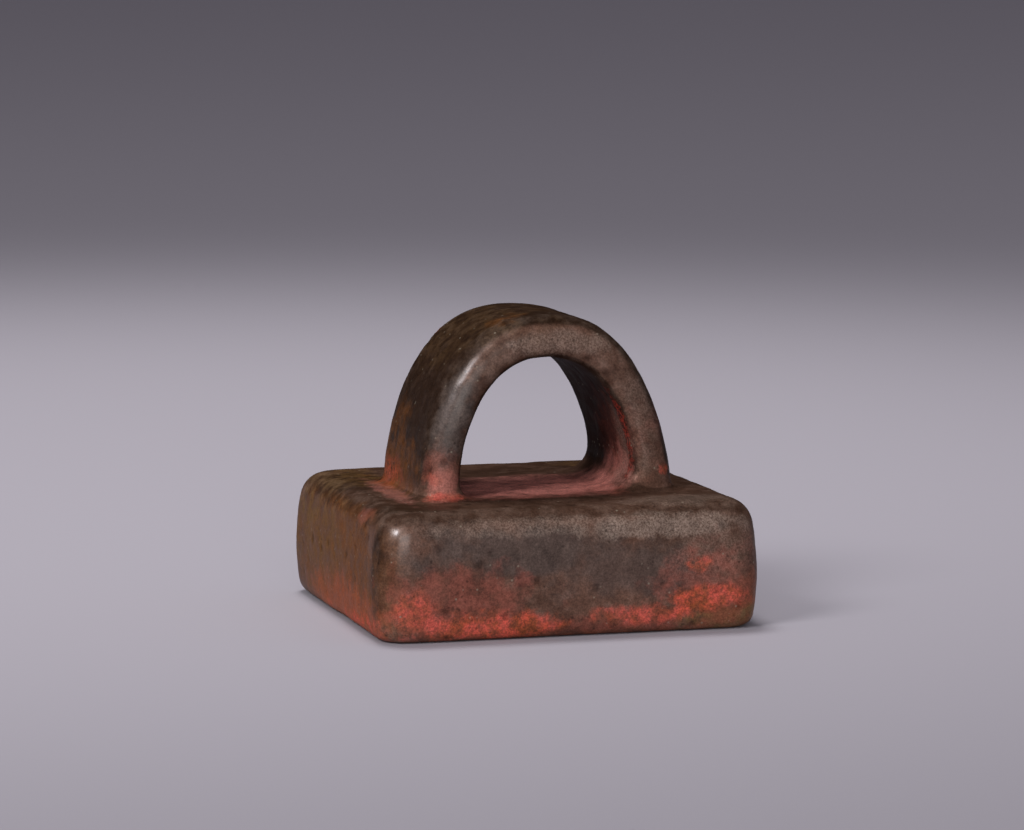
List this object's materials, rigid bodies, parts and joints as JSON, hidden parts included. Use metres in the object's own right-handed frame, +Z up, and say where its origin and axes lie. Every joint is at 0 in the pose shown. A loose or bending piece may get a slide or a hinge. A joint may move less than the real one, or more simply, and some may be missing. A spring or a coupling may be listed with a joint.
{
  "type": "bronze seal",
  "caption": "Ancient square bronze seal: a low block with worn edges and an arched strap loop on its back for a cord, with plain strokes cut in its sealing face.",
  "frame": {"origin": "middle of the sealing face, on the surface the seal stands on", "axes": "+Z up through the loop's crown, X across the loop from foot to foot, Y along the hole through the loop, with -Y the side nearest the camera"},
  "size_m": [0.0234, 0.0234, 0.0183],
  "materials": {
    "patinated_bronze": "dark brown bronze patina with a dull satin sheen and vermilion seal paste in the hollows and low on the sides"
  },
  "bodies": {
    "root": {"bronze_seal": "patinated_bronze"}
  },
  "joints": []
}
